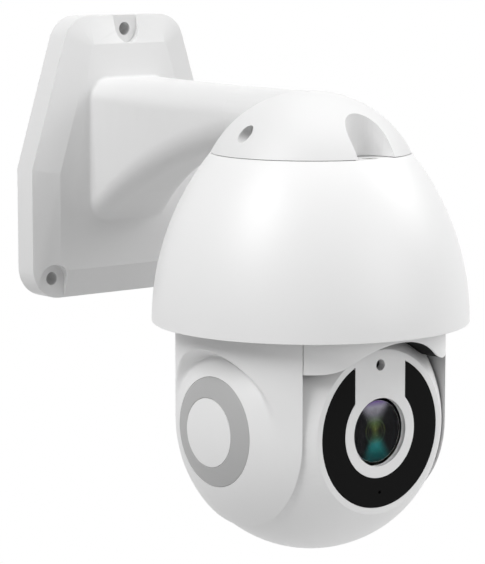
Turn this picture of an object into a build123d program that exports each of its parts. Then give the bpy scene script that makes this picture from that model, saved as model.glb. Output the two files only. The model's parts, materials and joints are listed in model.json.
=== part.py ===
"""A wall-mounted pan and tilt dome camera, built piece by piece in millimetres.

The frame: X to the right, -Y forwards out of the wall, +Z up.  The origin is the middle of
the bracket's back, on the wall.  The pan axis is vertical, REACH in front of the wall, and
the tilt axis runs along X through the centre of the eye.
"""

from build123d import *

import os
from math import acos, asin, cos, degrees, pi, radians, sin, sqrt, tan

# ---------------------------------------------------------------- driving dimensions
REACH = 132.0  # wall to pan axis
BALL_Z = -96.0  # height of the tilt axis
WALL = 2.2  # moulded wall of the head
CAST = 3.0  # cast wall of the bracket

# wall plate of the bracket
PLATE_TOP = 59.0
PLATE_KNEE = -4.3
PLATE_TOP_HALF = 28.2
PLATE_HALF = 48.3
PLATE_EDGE = 10.9  # depth of the plate's side wall
PLATE_FLAT = 14.5  # depth at the raised middle
PLATE_BEVEL = 11.8  # width of the sloping border
PLATE_CORNER = 13.0
SCREW_R = 2.75  # hole for a wall screw
SCREW_POST_R = 5.5  # post behind a wall screw
RECESS_R = 6.1  # pocket round a wall screw
TOP_SCREW_Z = 53.3
LOW_SCREW_X = 39.0
LOW_SCREW_Z = -50.5
GROMMET_R = 8.0

# arm: distance from the wall, half width, underside, corner radius
ARM_TOP = 32.8
ARM_R = 11.75
ARM_Z = ARM_TOP - ARM_R
ARM_SECTIONS = [
    (13.5, 21.0, -28.5, 9.0),
    (34.0, 17.8, -12.5, 10.0),
    (52.0, 15.6, -3.0, 10.8),
    (70.0, 13.8, 4.0, 11.2),
    (92.0, ARM_R, ARM_Z - ARM_R, ARM_R - 0.05),
]
HOLLOW_START = 12.0  # the arm's hollow begins this far from the wall

# cap and hood
RIM_Z = -57.0
RIM_R = 62.5
HOOD_ARC = 105.3
SPLIT_Z = 8.84
CAP_R = 44.1
CAP_TOP = 32.94
CAP_CENTRE = CAP_TOP - CAP_R
HOOD_WALL = 2.5
SEAL = 0.25
CAP_Z = SPLIT_Z + SEAL
GRUB_Z = 17.6
GRUB_WELL_R = 3.25
GRUB_R = 2.0
COLLAR_R = 19.0
COLLAR_TOP = 22.0
PASSAGE_R = 16.0
WELL_AT = 34.0
WELL_R = 9.4
WELL_WALL = 2.4

# head, heights measured from the tilt axis
CHEEK_R = 53.25
EYE_R = 52.0
SEAM_X = 37.0  # inner face of a cheek
EYE_HALF = 36.6
PANEL_HALF = 36.7
ROOF = 54.0
ROOF_TOP = 57.0
ARM_PLATE = (37.15, 39.4)
ARM_PLATE_R = 32.0
FACE = 41.0  # tilt axis to flat face
FACE_WALL = 3.5
EYE_JOIN = 12.0  # plane between front and rear shells
EYE_SEAL = 0.6
ARCH_R = 36.4
FRONT_EDGE = 26.0
ARCH_BLEND = 20.0
LIP_THICK = 1.5  # rubber lip round the arch
LIP_R = 52.35  # the lip's rebate in the front panel
LIP_GAP = 0.25  # lip to eye
FLANGE = (37.0, 39.2)  # inner wall of a cheek
FLANGE_R = 32.7
REAR_EDGE = 16.0
EAR_R = 30.5
RING_OUT = 21.3
RING_IN = 13.5
INLAY = 1.0
SEAM = 0.1

# face
PANEL_R = 29.5
PANEL_HOLE_R = 17.8
PANEL_SLOT = 12.85
PANEL_THICK = 1.8
LENS_R = 13.3
LENS_SUNK = 0.8
WINDOW_THICK = 1.5
SENSOR_UP = 26.2
SENSOR_R = 2.2
MIC_DOWN = 23.5
MIC_R = 0.65
LAMP_AT = 23.6
LAMP_R = 2.5
LAMP_ANGLES = [50 + 260 * k / 7 for k in range(8)]  # from the top, round the foot of the U

# optics, depths behind the face
BARREL_FRONT = 2.6
BARREL_STEP = 8.0
BARREL_END = 17.0
BARREL_R = (11.5, 8.0)
HOLDER = (11.0, 22.0)
HOLDER_HALF = 11.0
SLIDE_SLOT = (17.8, 19.6)
SLIDE = (18.2, 19.2)
SLIDE_TRAVEL = 8.0
SENSOR_BOARD = (22.0, 23.6)
LED_BOARD = (4.5, 6.1)
POSTS = [(x, v) for x in (-12, 12) for v in (-14.5, 14.5)]

# drives
MODULE = 1.0
PRESSURE = radians(25)
BACKLASH = 0.22
PINION_TEETH = 12
PAN_TEETH = 60
TILT_TEETH = 36
PAN_CENTRES = MODULE * (PAN_TEETH + PINION_TEETH) / 2
TILT_CENTRES = MODULE * (TILT_TEETH + PINION_TEETH) / 2
TILT_MOTOR_AT = radians(103)
SHAFT_R = 1.5
RUNNING = 0.05
CHASSIS = (67.0, 70.0)
CHASSIS_R = 54.5
HOOD_POST_R = 4.0
SPINDLE_R = 12.0
TRUNNION_R = 5.0
BUSH_R = 7.0
BUSH = (33.0, 36.5)
TILT_GEAR = (27.5, 31.0)
TILT_MOTOR = (10.0, 25.0)

PAN_AXIS = Axis((0, -REACH, 0), (0, 0, 1))
CENTRE = (0, -REACH, BALL_Z)
PROFILE = Plane(origin=(0, -REACH, 0), x_dir=(1, 0, 0), z_dir=(0, -1, 0))
RIGHT_SIDE = Plane(origin=CENTRE, x_dir=(0, 1, 0), z_dir=(1, 0, 0))
LEFT_SIDE = Plane(origin=CENTRE, x_dir=(0, -1, 0), z_dir=(-1, 0, 0))
WALL_FACE = Plane(origin=(0, 0, 0), x_dir=(1, 0, 0), z_dir=(0, -1, 0))
WALL_SCREWS = [(0, TOP_SCREW_Z, 1), (LOW_SCREW_X, LOW_SCREW_Z, -1), (-LOW_SCREW_X, LOW_SCREW_Z, -1)]


# ---------------------------------------------------------------- shared shapes
def level(z):
    """A horizontal plane on the pan axis at height z."""
    return Plane(origin=(0, -REACH, z))


def storey(h):
    """A horizontal plane on the pan axis, h above the tilt axis."""
    return level(BALL_Z + h)


def face(depth):
    """A plane parallel to the eye's flat face and depth behind it, facing forwards."""
    return Plane(origin=(0, -REACH - FACE + depth, BALL_Z), x_dir=(1, 0, 0), z_dir=(0, -1, 0))


def spot(plane, u, v):
    """The same plane with its origin moved to u, v."""
    return Plane(origin=plane.from_local_coords((u, v, 0)), x_dir=plane.x_dir, z_dir=plane.z_dir)


def around(radius, angle):
    """The point at a radius and an angle in degrees."""
    return radius * cos(radians(angle)), radius * sin(radians(angle))


def save(builder, name):
    builder.part.label = name
    export_step(builder.part, f"parts/{name}.step")


def save_mirrored(builder, name):
    """The same piece on the other side of the head."""
    with BuildPart() as twin:
        mirror(builder.part, about=Plane.YZ)
    save(twin, name)


def disc(plane, radius, length, hole=0.0):
    """A disc or ring that stands length out of plane."""
    with BuildPart() as made:
        with BuildSketch(plane):
            Circle(radius)
            if hole:
                Circle(hole, mode=Mode.SUBTRACT)
        extrude(amount=length)
    return made.part


def screw(plane, head_r, head_h, shank_r, shank_l):
    """A socket-head screw whose head stands on plane and whose shank goes into it."""
    with BuildPart() as made:
        with BuildSketch(plane):
            Circle(head_r)
        extrude(amount=head_h)
        with BuildSketch(plane):
            Circle(shank_r)
        extrude(amount=-shank_l)
        with BuildSketch(plane.offset(head_h)):
            RegularPolygon(head_r * 0.5, 6)
        extrude(amount=-head_h * 0.6, mode=Mode.SUBTRACT)
    return made.part


def ball(radius, half_width):
    """A sphere on the tilt axis, cut flat at each side."""
    with BuildPart() as made:
        with Locations(CENTRE):
            Sphere(radius)
            Box(2 * half_width, 2 * radius + 2, 2 * radius + 2, mode=Mode.INTERSECT)
    return made.part


def ball_layer(outer, inner):
    """The layer of a ball on the tilt axis between two radii."""
    with BuildPart() as made:
        with Locations(CENTRE):
            Sphere(outer)
            Sphere(inner, mode=Mode.SUBTRACT)
    return made.part


def ear_piece(side, outer, inner, layer):
    """The round or ring-shaped piece of a layer that lies on one side's tilt axis."""
    with BuildPart() as made:
        add(disc(side.offset(SEAM_X), outer, CHEEK_R, inner))
        add(layer, mode=Mode.INTERSECT)
    return made.part


def slab(low, high):
    """A box between two corners given from the centre of the eye."""
    with BuildPart() as made:
        with Locations(tuple(c + (a + b) / 2 for c, a, b in zip(CENTRE, low, high))):
            Box(*(b - a for a, b in zip(low, high)))
    return made.part


def involute(angle):
    return tan(angle) - angle


def spur_outline(teeth, turn):
    """Corner points of a spur gear with a tooth centred on the angle turn, in radians."""
    pitch_r = MODULE * teeth / 2
    base_r = pitch_r * cos(PRESSURE)
    root_r = pitch_r - 1.25 * MODULE
    tip_r = pitch_r + 0.95 * MODULE
    half = pi / (2 * teeth) - BACKLASH / (4 * pitch_r) + involute(PRESSURE)
    start_r = max(base_r, root_r)
    flank = [start_r + (tip_r - start_r) * k / 4 for k in range(5)]
    rising = [(r, half - involute(acos(min(1.0, base_r / r)))) for r in flank]
    if root_r < base_r:
        rising.insert(0, (root_r, half))
    points = []
    for tooth in range(teeth):
        middle = turn + 2 * pi * tooth / teeth
        points += [(r * cos(middle - a), r * sin(middle - a)) for r, a in rising]
        points += [(r * cos(middle + a), r * sin(middle + a)) for r, a in reversed(rising)]
    return points


def gear(plane, teeth, turn, thick, bore_r):
    with BuildPart() as made:
        with BuildSketch(plane):
            with BuildLine():
                Polyline(*spur_outline(teeth, turn), close=True)
            make_face()
            Circle(bore_r, mode=Mode.SUBTRACT)
        extrude(amount=thick)
    return made.part


def motor(plane, radius, length, lug_at, lug_angle, shaft_depth):
    """A stepper motor that stands on plane, with two lugs and a bore for its shaft."""
    lugs = [around(lug_at, lug_angle + turn) for turn in (0, 180)]
    with BuildPart() as made:
        with BuildSketch(plane):
            Circle(radius)
        extrude(amount=length)
        fillet(made.faces().sort_by(Axis(plane.origin, plane.z_dir))[-1].edges(), 1.0)
        with BuildSketch(plane):
            SlotOverall(2 * lug_at + 6.4, 6.4, rotation=lug_angle)
        extrude(amount=1.0)
        with BuildSketch(plane):
            with Locations(*lugs):
                Circle(1.2)
        extrude(amount=1.0, mode=Mode.SUBTRACT)
        with BuildSketch(plane):
            Circle(SHAFT_R + RUNNING)
        extrude(amount=shaft_depth, mode=Mode.SUBTRACT)
    return made.part


def plate_outline(distance, inset):
    """The wall plate's outline at a distance from the wall, inset from its edge."""
    with BuildSketch(WALL_FACE.offset(distance)) as outline:
        with BuildLine():
            Polyline(
                (PLATE_TOP_HALF, PLATE_TOP),
                (PLATE_HALF, PLATE_KNEE),
                (PLATE_HALF, -PLATE_TOP),
                (-PLATE_HALF, -PLATE_TOP),
                (-PLATE_HALF, PLATE_KNEE),
                (-PLATE_TOP_HALF, PLATE_TOP),
                close=True,
            )
        make_face()
        corners = outline.vertices().filter_by(lambda v: abs(abs(v.Y) - PLATE_TOP) < 0.1)
        fillet(corners, PLATE_CORNER)
        if inset:
            offset(amount=-inset, kind=Kind.INTERSECTION, mode=Mode.REPLACE)
    return outline.sketch


def arm_section(distance, half, low, corner, skin=0.0):
    """The arm's section at a distance from the wall, or that of its hollow."""
    with BuildSketch(WALL_FACE.offset(distance)) as section:
        with Locations((0, (ARM_TOP + low) / 2)):
            RectangleRounded(2 * (half - skin), ARM_TOP - low - 2 * skin, corner - skin)
    return section.sketch


def cap_dome(radius):
    """The solid dome of the cap, on the cap's own centre."""
    edge_r = sqrt(radius**2 - (CAP_Z - CAP_CENTRE) ** 2)
    lean = asin(edge_r / radius) / 2
    with BuildPart() as made:
        with BuildSketch(PROFILE):
            with BuildLine():
                Line((0, CAP_Z), (edge_r, CAP_Z))
                ThreePointArc(
                    (edge_r, CAP_Z),
                    (radius * sin(lean), CAP_CENTRE + radius * cos(lean)),
                    (0, CAP_CENTRE + radius),
                )
                Line((0, CAP_CENTRE + radius), (0, CAP_Z))
            make_face()
        revolve(axis=PAN_AXIS)
    return made.part


def front_well(low, wall):
    """The upright U-shaped pocket in the front of the cap, from height low."""
    with BuildPart() as made:
        with BuildSketch(level(low)):
            with Locations((0, -WELL_AT)):
                Circle(WELL_R + wall)
            with Locations((0, -WELL_AT - 10)):
                Rectangle(2 * (WELL_R + wall), 20)
        extrude(amount=CAP_TOP - low)
    return made.part


def hood_radius(z, skin):
    """Radius of the hood's outside, or of its inside, at height z."""
    return RIM_R - HOOD_ARC + sqrt((HOOD_ARC - skin) ** 2 - (z - RIM_Z) ** 2)


def cheek_solid(skin):
    """The head's outer shape, or its hollow: a drum over a ball with a round flat ear."""
    radius = CHEEK_R - skin
    with BuildPart() as made:
        add(disc(storey(0), radius, ROOF_TOP))
        for side in (LEFT_SIDE, RIGHT_SIDE):
            add(disc(side, EAR_R + 0.8 * skin, CHEEK_R + 1), mode=Mode.SUBTRACT)
        with Locations(CENTRE):
            Sphere(radius)
    return made.part


def arch_opening(widening):
    """The arch in the front panel, widened by the thickness of what lines it."""
    with BuildPart() as made:
        with BuildSketch(face(-20)) as outline:
            Circle(ARCH_R + widening)
            edge = FRONT_EDGE + widening
            with Locations((0, edge - 50)):
                Rectangle(140, 100)
            corners = outline.vertices().filter_by(lambda v: abs(v.Y - edge) < 0.1 and abs(v.X) < 40)
            fillet(corners, ARCH_BLEND - widening)
        extrude(amount=-FACE - 20)
    return made.part


def light_panel_outline(depth, gap):
    """The U of the lamp panel, at a depth behind the face, with a gap all round it."""
    with BuildSketch(face(depth)) as outline:
        Circle(PANEL_R - gap)
        Circle(PANEL_HOLE_R + gap, mode=Mode.SUBTRACT)
        with Locations((0, PANEL_R / 2 + 2)):
            Rectangle(2 * (PANEL_SLOT + gap), PANEL_R + 4, mode=Mode.SUBTRACT)
    return outline.sketch


os.makedirs("parts", exist_ok=True)

# ---------------------------------------------------------------- wall bracket
side_wells = [spot(RIGHT_SIDE, 0, GRUB_Z - BALL_Z), spot(LEFT_SIDE, 0, GRUB_Z - BALL_Z)]

with BuildPart() as cap_bosses:
    for well in side_wells:
        add(disc(well.offset(COLLAR_R + 1.5), GRUB_WELL_R + 2.4, CAP_R))
    add(front_well(CAP_Z, WELL_WALL))
    add(cap_dome(CAP_R), mode=Mode.INTERSECT)

with BuildPart() as wall_bracket:
    # plate: straight side wall, then a broad shallow bevel up to a flat middle
    extrude(plate_outline(0, 0), amount=PLATE_EDGE)
    loft([plate_outline(PLATE_EDGE, 0), plate_outline(PLATE_FLAT, PLATE_BEVEL)], ruled=True)
    # arm: a horn that narrows to a round tube, and the cap over the hood
    loft([arm_section(*section) for section in ARM_SECTIONS])
    with BuildSketch(WALL_FACE.offset(ARM_SECTIONS[-1][0] - 1)):
        with Locations((0, ARM_Z)):
            Circle(ARM_R)
    extrude(amount=REACH - ARM_SECTIONS[-1][0] + 1)
    add(cap_dome(CAP_R))
    # hollows: behind the plate, along the arm and under the cap
    extrude(plate_outline(0, CAST), amount=PLATE_EDGE - CAST, mode=Mode.SUBTRACT)
    first = ARM_SECTIONS[0]
    hollow = [(HOLLOW_START, *first[1:])] + ARM_SECTIONS[1:]
    loft([arm_section(*section, CAST) for section in hollow], mode=Mode.SUBTRACT)
    with BuildSketch(WALL_FACE.offset(ARM_SECTIONS[-1][0] - 1)):
        with Locations((0, ARM_Z)):
            Circle(ARM_R - CAST)
    extrude(amount=REACH - ARM_SECTIONS[-1][0] + 1, mode=Mode.SUBTRACT)
    add(cap_dome(CAP_R - CAST), mode=Mode.SUBTRACT)
    add(cap_bosses.part)
    # openings of the cap
    add(front_well(CAP_Z - 1, 0), mode=Mode.SUBTRACT)
    for well in side_wells:
        add(disc(well.offset(27.5), GRUB_WELL_R, 20), mode=Mode.SUBTRACT)
        add(disc(well.offset(COLLAR_R), GRUB_R, 20), mode=Mode.SUBTRACT)
    # wall screws: a post behind each, a pocket in front that runs out over the edge
    for x, z, way in WALL_SCREWS:
        add(disc(spot(WALL_FACE, x, z), SCREW_POST_R, PLATE_EDGE))
    for x, z, way in WALL_SCREWS:
        with BuildSketch(WALL_FACE.offset(PLATE_EDGE)):
            with Locations((x, z)):
                Circle(RECESS_R)
            with Locations((x, z + way * 10)):
                Rectangle(2 * RECESS_R, 20)
        extrude(amount=10, mode=Mode.SUBTRACT)
        add(disc(spot(WALL_FACE, x, z), SCREW_R, PLATE_FLAT), mode=Mode.SUBTRACT)
    # cable hole through the web at the arm's root
    add(disc(WALL_FACE, GROMMET_R, HOLLOW_START + 1), mode=Mode.SUBTRACT)
save(wall_bracket, "wall_bracket")

with BuildPart() as cable_grommet:
    with BuildSketch(Plane.XY):
        with BuildLine():
            low, high = PLATE_EDGE - CAST, HOLLOW_START
            Polyline(
                (5, low - 1.5),
                (GROMMET_R + 2, low - 1.5),
                (GROMMET_R + 2, low),
                (GROMMET_R, low),
                (GROMMET_R, high),
                (GROMMET_R + 1.5, high),
                (GROMMET_R + 1.5, high + 1.5),
                (5, high + 1.5),
                close=True,
            )
        make_face()
    revolve(axis=Axis.Y)
    mirror(about=Plane.XZ, mode=Mode.REPLACE)
save(cable_grommet, "cable_grommet")

# ---------------------------------------------------------------- hood and what it holds
hood_post_spots = [around(WELL_AT, angle) for angle in (-90, 30, 150)]
board_boss_spots = [around(22, angle) for angle in (-30, 90, 210)]

with BuildPart() as hood:
    with BuildSketch(PROFILE):
        with BuildLine():
            middle = (RIM_Z + SPLIT_Z) / 2
            ceiling = SPLIT_Z - HOOD_WALL
            Line((RIM_R - HOOD_WALL, RIM_Z), (RIM_R, RIM_Z))
            ThreePointArc(
                (RIM_R, RIM_Z),
                (hood_radius(middle, 0), middle),
                (hood_radius(SPLIT_Z, 0), SPLIT_Z),
            )
            Polyline(
                (hood_radius(SPLIT_Z, 0), SPLIT_Z),
                (COLLAR_R, SPLIT_Z),
                (COLLAR_R, COLLAR_TOP),
                (PASSAGE_R, COLLAR_TOP),
                (PASSAGE_R, ceiling),
                (hood_radius(ceiling, HOOD_WALL), ceiling),
            )
            ThreePointArc(
                (hood_radius(ceiling, HOOD_WALL), ceiling),
                (hood_radius(middle, HOOD_WALL), middle),
                (RIM_R - HOOD_WALL, RIM_Z),
            )
        make_face()
    revolve(axis=PAN_AXIS)
    for u, v in board_boss_spots:
        add(disc(spot(level(ceiling), u, v), 3.0, -7.8))
        add(disc(spot(level(ceiling - 7.8), u, v), 1.0, 7.0), mode=Mode.SUBTRACT)
    for u, v in hood_post_spots:
        add(disc(spot(level(SPLIT_Z), u, v), 3.2, -1.4), mode=Mode.SUBTRACT)
        add(disc(spot(level(SPLIT_Z), u, v), 1.6, -HOOD_WALL), mode=Mode.SUBTRACT)
save(hood, "hood")

with BuildPart() as hood_seal:
    add(disc(level(SPLIT_Z), 38.5, SEAL, 35.8))
    add(front_well(SPLIT_Z - 1, 0.6), mode=Mode.SUBTRACT)
save(hood_seal, "hood_seal")

with BuildPart() as grub_screws:
    for well in side_wells:
        add(disc(well.offset(COLLAR_R), GRUB_R, 8))
        with BuildSketch(well.offset(COLLAR_R + 8)):
            RegularPolygon(1.1, 6)
        extrude(amount=-2.5, mode=Mode.SUBTRACT)
save(grub_screws, "grub_screws")

with BuildPart() as hood_screws:
    for u, v in hood_post_spots:
        add(screw(spot(level(SPLIT_Z - 1.4), u, v), 3.0, 1.3, 1.6, 14))
save(hood_screws, "hood_screws")

chassis_top = BALL_Z + CHASSIS[1]
motor_lugs = [(-14.5, PAN_CENTRES), (14.5, PAN_CENTRES)]
with BuildPart() as chassis:
    add(disc(storey(CHASSIS[0]), CHASSIS_R, CHASSIS[1] - CHASSIS[0], 15))
    with BuildSketch(storey(CHASSIS[1])):
        Circle(CHASSIS_R)
        Circle(CHASSIS_R - 2, mode=Mode.SUBTRACT)
    extrude(amount=2)
    for u, v in hood_post_spots:
        add(disc(spot(level(chassis_top), u, v), HOOD_POST_R, ceiling - chassis_top))
        add(disc(spot(level(ceiling), u, v), 1.6, -13), mode=Mode.SUBTRACT)
    with BuildSketch(storey(CHASSIS[0])):
        with Locations((0, PAN_CENTRES)):
            Circle(4)
        with Locations(*motor_lugs):
            Circle(1.2)
    extrude(amount=3, mode=Mode.SUBTRACT)
save(chassis, "chassis")

with BuildPart() as pan_bush:
    add(disc(storey(65.5), 17.5, 1.5, SPINDLE_R + RUNNING))
    add(disc(storey(67), 15, 4.5, SPINDLE_R + RUNNING))
save(pan_bush, "pan_bush")

with BuildPart() as pan_motor:
    add(motor(spot(storey(CHASSIS[1]), 0, PAN_CENTRES), 10.5, 15, 14.5, 0, 9))
save(pan_motor, "pan_motor")

with BuildPart() as pan_motor_screws:
    for u, v in motor_lugs:
        add(screw(spot(storey(CHASSIS[1] + 1), u, v), 2.2, 1.4, 1.2, 4))
save(pan_motor_screws, "pan_motor_screws")

board_z = ceiling - 7.8
with BuildPart() as main_board:
    with BuildSketch(level(board_z)):
        Circle(28.5)
        Circle(6, mode=Mode.SUBTRACT)
        with Locations(*board_boss_spots):
            Circle(1.2, mode=Mode.SUBTRACT)
    extrude(amount=-1.6)
    # processor, memory, radio can and plugs on the underside
    with BuildSketch(level(board_z - 1.6)):
        with Locations((-11, 1)):
            Rectangle(12, 12)
        with Locations((9, -14)):
            Rectangle(10, 7)
    extrude(amount=-1.4)
    with BuildSketch(level(board_z - 1.6)):
        with Locations((17, 6)):
            Rectangle(8, 14)
        with Locations((-10, 17)):
            Rectangle(11, 5)
    extrude(amount=-4.5)
save(main_board, "main_board")

with BuildPart() as board_screws:
    for u, v in board_boss_spots:
        under = Plane(origin=level(board_z - 1.6).from_local_coords((u, v, 0)), z_dir=(0, 0, -1))
        add(screw(under, 2.0, 1.3, 1.0, 6))
save(board_screws, "board_screws")

# ---------------------------------------------------------------- turning head
ear_screws = [(-24.0, 32.0), (24.0, 32.0), (0.0, -26.0)]
trunnion_screw_spots = [around(7.0, angle) for angle in (90, 210, 330)]
spindle_spots = [around(16, angle) for angle in (30, 150, 270)]
gear_spots = [around(25, angle) for angle in (0, 120, 240)]

arch = arch_opening(0)

with BuildPart() as arch_lip:
    add(arch_opening(LIP_THICK))
    add(arch, mode=Mode.SUBTRACT)
    add(slab((-PANEL_HALF, -60, REAR_EDGE), (PANEL_HALF, -20, ROOF)), mode=Mode.INTERSECT)
    add(disc(storey(0), LIP_R, ROOF), mode=Mode.INTERSECT)
    with Locations(CENTRE):
        Sphere(EYE_R + LIP_GAP, mode=Mode.SUBTRACT)
save(arch_lip, "arch_lip")

with BuildPart() as yoke:
    # drum walls front and rear, between the cheeks
    add(disc(storey(REAR_EDGE), CHEEK_R, ROOF_TOP - REAR_EDGE, CHEEK_R - WALL))
    add(slab((-PANEL_HALF, -60, 0), (PANEL_HALF, 60, ROOF_TOP)), mode=Mode.INTERSECT)
    add(arch, mode=Mode.SUBTRACT)
    add(arch_lip.part, mode=Mode.SUBTRACT)
    # roof, and the two plates that carry the trunnions
    add(disc(storey(ROOF), CHEEK_R - WALL, ROOF_TOP - ROOF))
    for side in (LEFT_SIDE, RIGHT_SIDE):
        with BuildSketch(side.offset(ARM_PLATE[0])):
            Circle(ARM_PLATE_R)
            with Locations((0, ROOF / 2)):
                Rectangle(2 * ARM_PLATE_R, ROOF)
        extrude(amount=ARM_PLATE[1] - ARM_PLATE[0])
        with BuildSketch(side.offset(ARM_PLATE[0])):
            Circle(TRUNNION_R)
            with Locations(*ear_screws):
                Circle(1.3)
            with Locations(*trunnion_screw_spots):
                Circle(0.9)
        extrude(amount=3, mode=Mode.SUBTRACT)
        with BuildSketch(side.offset(ARM_PLATE[0])):
            with Locations(*ear_screws):
                Circle(2.6)
        extrude(amount=1.2, mode=Mode.SUBTRACT)
    with BuildSketch(storey(ROOF)):
        Circle(8)
        with Locations(*spindle_spots, *gear_spots):
            Circle(1.3)
    extrude(amount=3, mode=Mode.SUBTRACT)
save(yoke, "yoke")

shell_outside = cheek_solid(0)
shell_inside = cheek_solid(WALL)
inlay_layer = ball_layer(CHEEK_R, CHEEK_R - INLAY)
inlay_cut = ball_layer(CHEEK_R + 2, CHEEK_R - INLAY)
floor_layer = ball_layer(CHEEK_R - INLAY, CHEEK_R - INLAY - 1.6)

with BuildPart() as cheek:
    add(shell_outside)
    add(shell_inside, mode=Mode.SUBTRACT)
    with BuildSketch(LEFT_SIDE.offset(FLANGE[0])):
        Circle(CHEEK_R)
        with Locations((0, ROOF / 2 - RUNNING)):
            Rectangle(2 * CHEEK_R, ROOF - 2 * RUNNING)
        Circle(FLANGE_R, mode=Mode.SUBTRACT)
        with Locations((0, ROOF / 2)):
            Rectangle(2 * FLANGE_R, ROOF, mode=Mode.SUBTRACT)
    extrude(amount=FLANGE[1] - FLANGE[0])
    for u, v in ear_screws:
        add(disc(spot(LEFT_SIDE, u, v).offset(ARM_PLATE[1]), 3.2, 10))
    add(shell_outside, mode=Mode.INTERSECT)
    for u, v in ear_screws:
        add(disc(spot(LEFT_SIDE, u, v).offset(ARM_PLATE[1]), 1.3, 4), mode=Mode.SUBTRACT)
    add(slab((-CHEEK_R - 2, -60, -60), (-SEAM_X, 60, ROOF_TOP)), mode=Mode.INTERSECT)
    add(ear_piece(LEFT_SIDE, RING_OUT + SEAM, 0, inlay_cut), mode=Mode.SUBTRACT)
    add(ear_piece(LEFT_SIDE, RING_OUT + SEAM + 1.2, 0, floor_layer))
save(cheek, "left_cheek")
save_mirrored(cheek, "right_cheek")

with BuildPart() as ear_ring:
    add(ear_piece(LEFT_SIDE, RING_OUT, RING_IN, inlay_layer))
save(ear_ring, "left_ear_ring")
save_mirrored(ear_ring, "right_ear_ring")

with BuildPart() as ear_cap:
    add(ear_piece(LEFT_SIDE, RING_IN - SEAM, 0, inlay_layer))
save(ear_cap, "left_ear_cap")
save_mirrored(ear_cap, "right_ear_cap")

with BuildPart() as trunnion:
    add(disc(LEFT_SIDE.offset(ARM_PLATE[1]), 9.0, 2.0, 2.5))
    add(disc(LEFT_SIDE.offset(ARM_PLATE[1]), TRUNNION_R, TILT_GEAR[0] - 1 - ARM_PLATE[1], 2.5))
    with BuildSketch(LEFT_SIDE.offset(ARM_PLATE[1])):
        with Locations(*trunnion_screw_spots):
            Circle(0.9)
    extrude(amount=2, mode=Mode.SUBTRACT)
save(trunnion, "left_trunnion")
save_mirrored(trunnion, "right_trunnion")

with BuildPart() as cheek_screws:
    for side in (LEFT_SIDE, RIGHT_SIDE):
        for u, v in ear_screws:
            seat = spot(side, u, v).offset(ARM_PLATE[0] + 1.2)
            inward = Plane(origin=seat.origin, z_dir=-side.z_dir)
            add(screw(inward, 2.5, 1.1, 1.3, 5))
save(cheek_screws, "cheek_screws")

with BuildPart() as trunnion_screws:
    for side in (LEFT_SIDE, RIGHT_SIDE):
        for u, v in trunnion_screw_spots:
            add(screw(spot(side, u, v).offset(ARM_PLATE[1] + 2), 1.6, 1.0, 0.9, 4))
save(trunnion_screws, "trunnion_screws")

with BuildPart() as pan_spindle:
    add(disc(storey(ROOF_TOP), 20, 2.5, 8))
    add(disc(storey(ROOF_TOP), SPINDLE_R, 18.6, 8))
    with BuildSketch(storey(ROOF_TOP)):
        with Locations(*spindle_spots):
            Circle(1.3)
    extrude(amount=3, mode=Mode.SUBTRACT)
save(pan_spindle, "pan_spindle")

with BuildPart() as spindle_screws:
    for u, v in spindle_spots:
        add(screw(spot(storey(ROOF_TOP + 2.5), u, v), 2.4, 1.6, 1.3, 5.4))
save(spindle_screws, "spindle_screws")

with BuildPart() as pan_gear:
    add(gear(storey(ROOF_TOP), PAN_TEETH, pi / 2, 4, 20))
    with BuildSketch(storey(ROOF_TOP)):
        with Locations(*gear_spots):
            Circle(1.3)
    extrude(amount=4, mode=Mode.SUBTRACT)
save(pan_gear, "pan_gear")

with BuildPart() as gear_screws:
    for u, v in gear_spots:
        add(screw(spot(storey(ROOF_TOP + 4), u, v), 2.2, 1.4, 1.3, 6.8))
save(gear_screws, "gear_screws")

with BuildPart() as pan_circlip:
    add(disc(storey(71.7), 14.5, 1.2, SPINDLE_R))
    with BuildSketch(storey(71.7)):
        with Locations((0, -13)):
            Rectangle(5, 8)
    extrude(amount=1.2, mode=Mode.SUBTRACT)
save(pan_circlip, "pan_circlip")

# ---------------------------------------------------------------- pan drive
with BuildPart() as pan_pinion:
    centre = spot(storey(ROOF_TOP + 0.5), 0, PAN_CENTRES)
    add(gear(centre, PINION_TEETH, -pi / 2 + pi / PINION_TEETH, 3.5, SHAFT_R))
save(pan_pinion, "pan_pinion")

with BuildPart() as pan_motor_shaft:
    add(disc(spot(storey(ROOF_TOP + 0.5), 0, PAN_CENTRES), SHAFT_R, 21))
save(pan_motor_shaft, "pan_motor_shaft")

# ---------------------------------------------------------------- eye
cover_bosses = [(x, v) for x in (-14, 14) for v in (-43.8, 43.8)]
cover_seat = FACE + 16.2
tilt_motor_u = TILT_CENTRES * cos(TILT_MOTOR_AT)
tilt_motor_v = TILT_CENTRES * sin(TILT_MOTOR_AT)
tilt_lug_angle = degrees(TILT_MOTOR_AT) - 90
tilt_lug_steps = [around(13.5, tilt_lug_angle + turn) for turn in (0, 180)]
tilt_lugs = [(tilt_motor_u + u, tilt_motor_v + v) for u, v in tilt_lug_steps]

with BuildPart() as eye_shell:
    add(ball(EYE_R, EYE_HALF))
    add(slab((-60, -FACE, -60), (60, 60, 60)), mode=Mode.INTERSECT)
with BuildPart() as eye_inside:
    add(ball(EYE_R - WALL, EYE_HALF - WALL))
    add(slab((-60, -FACE + FACE_WALL, -60), (60, 60, 60)), mode=Mode.INTERSECT)

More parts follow.
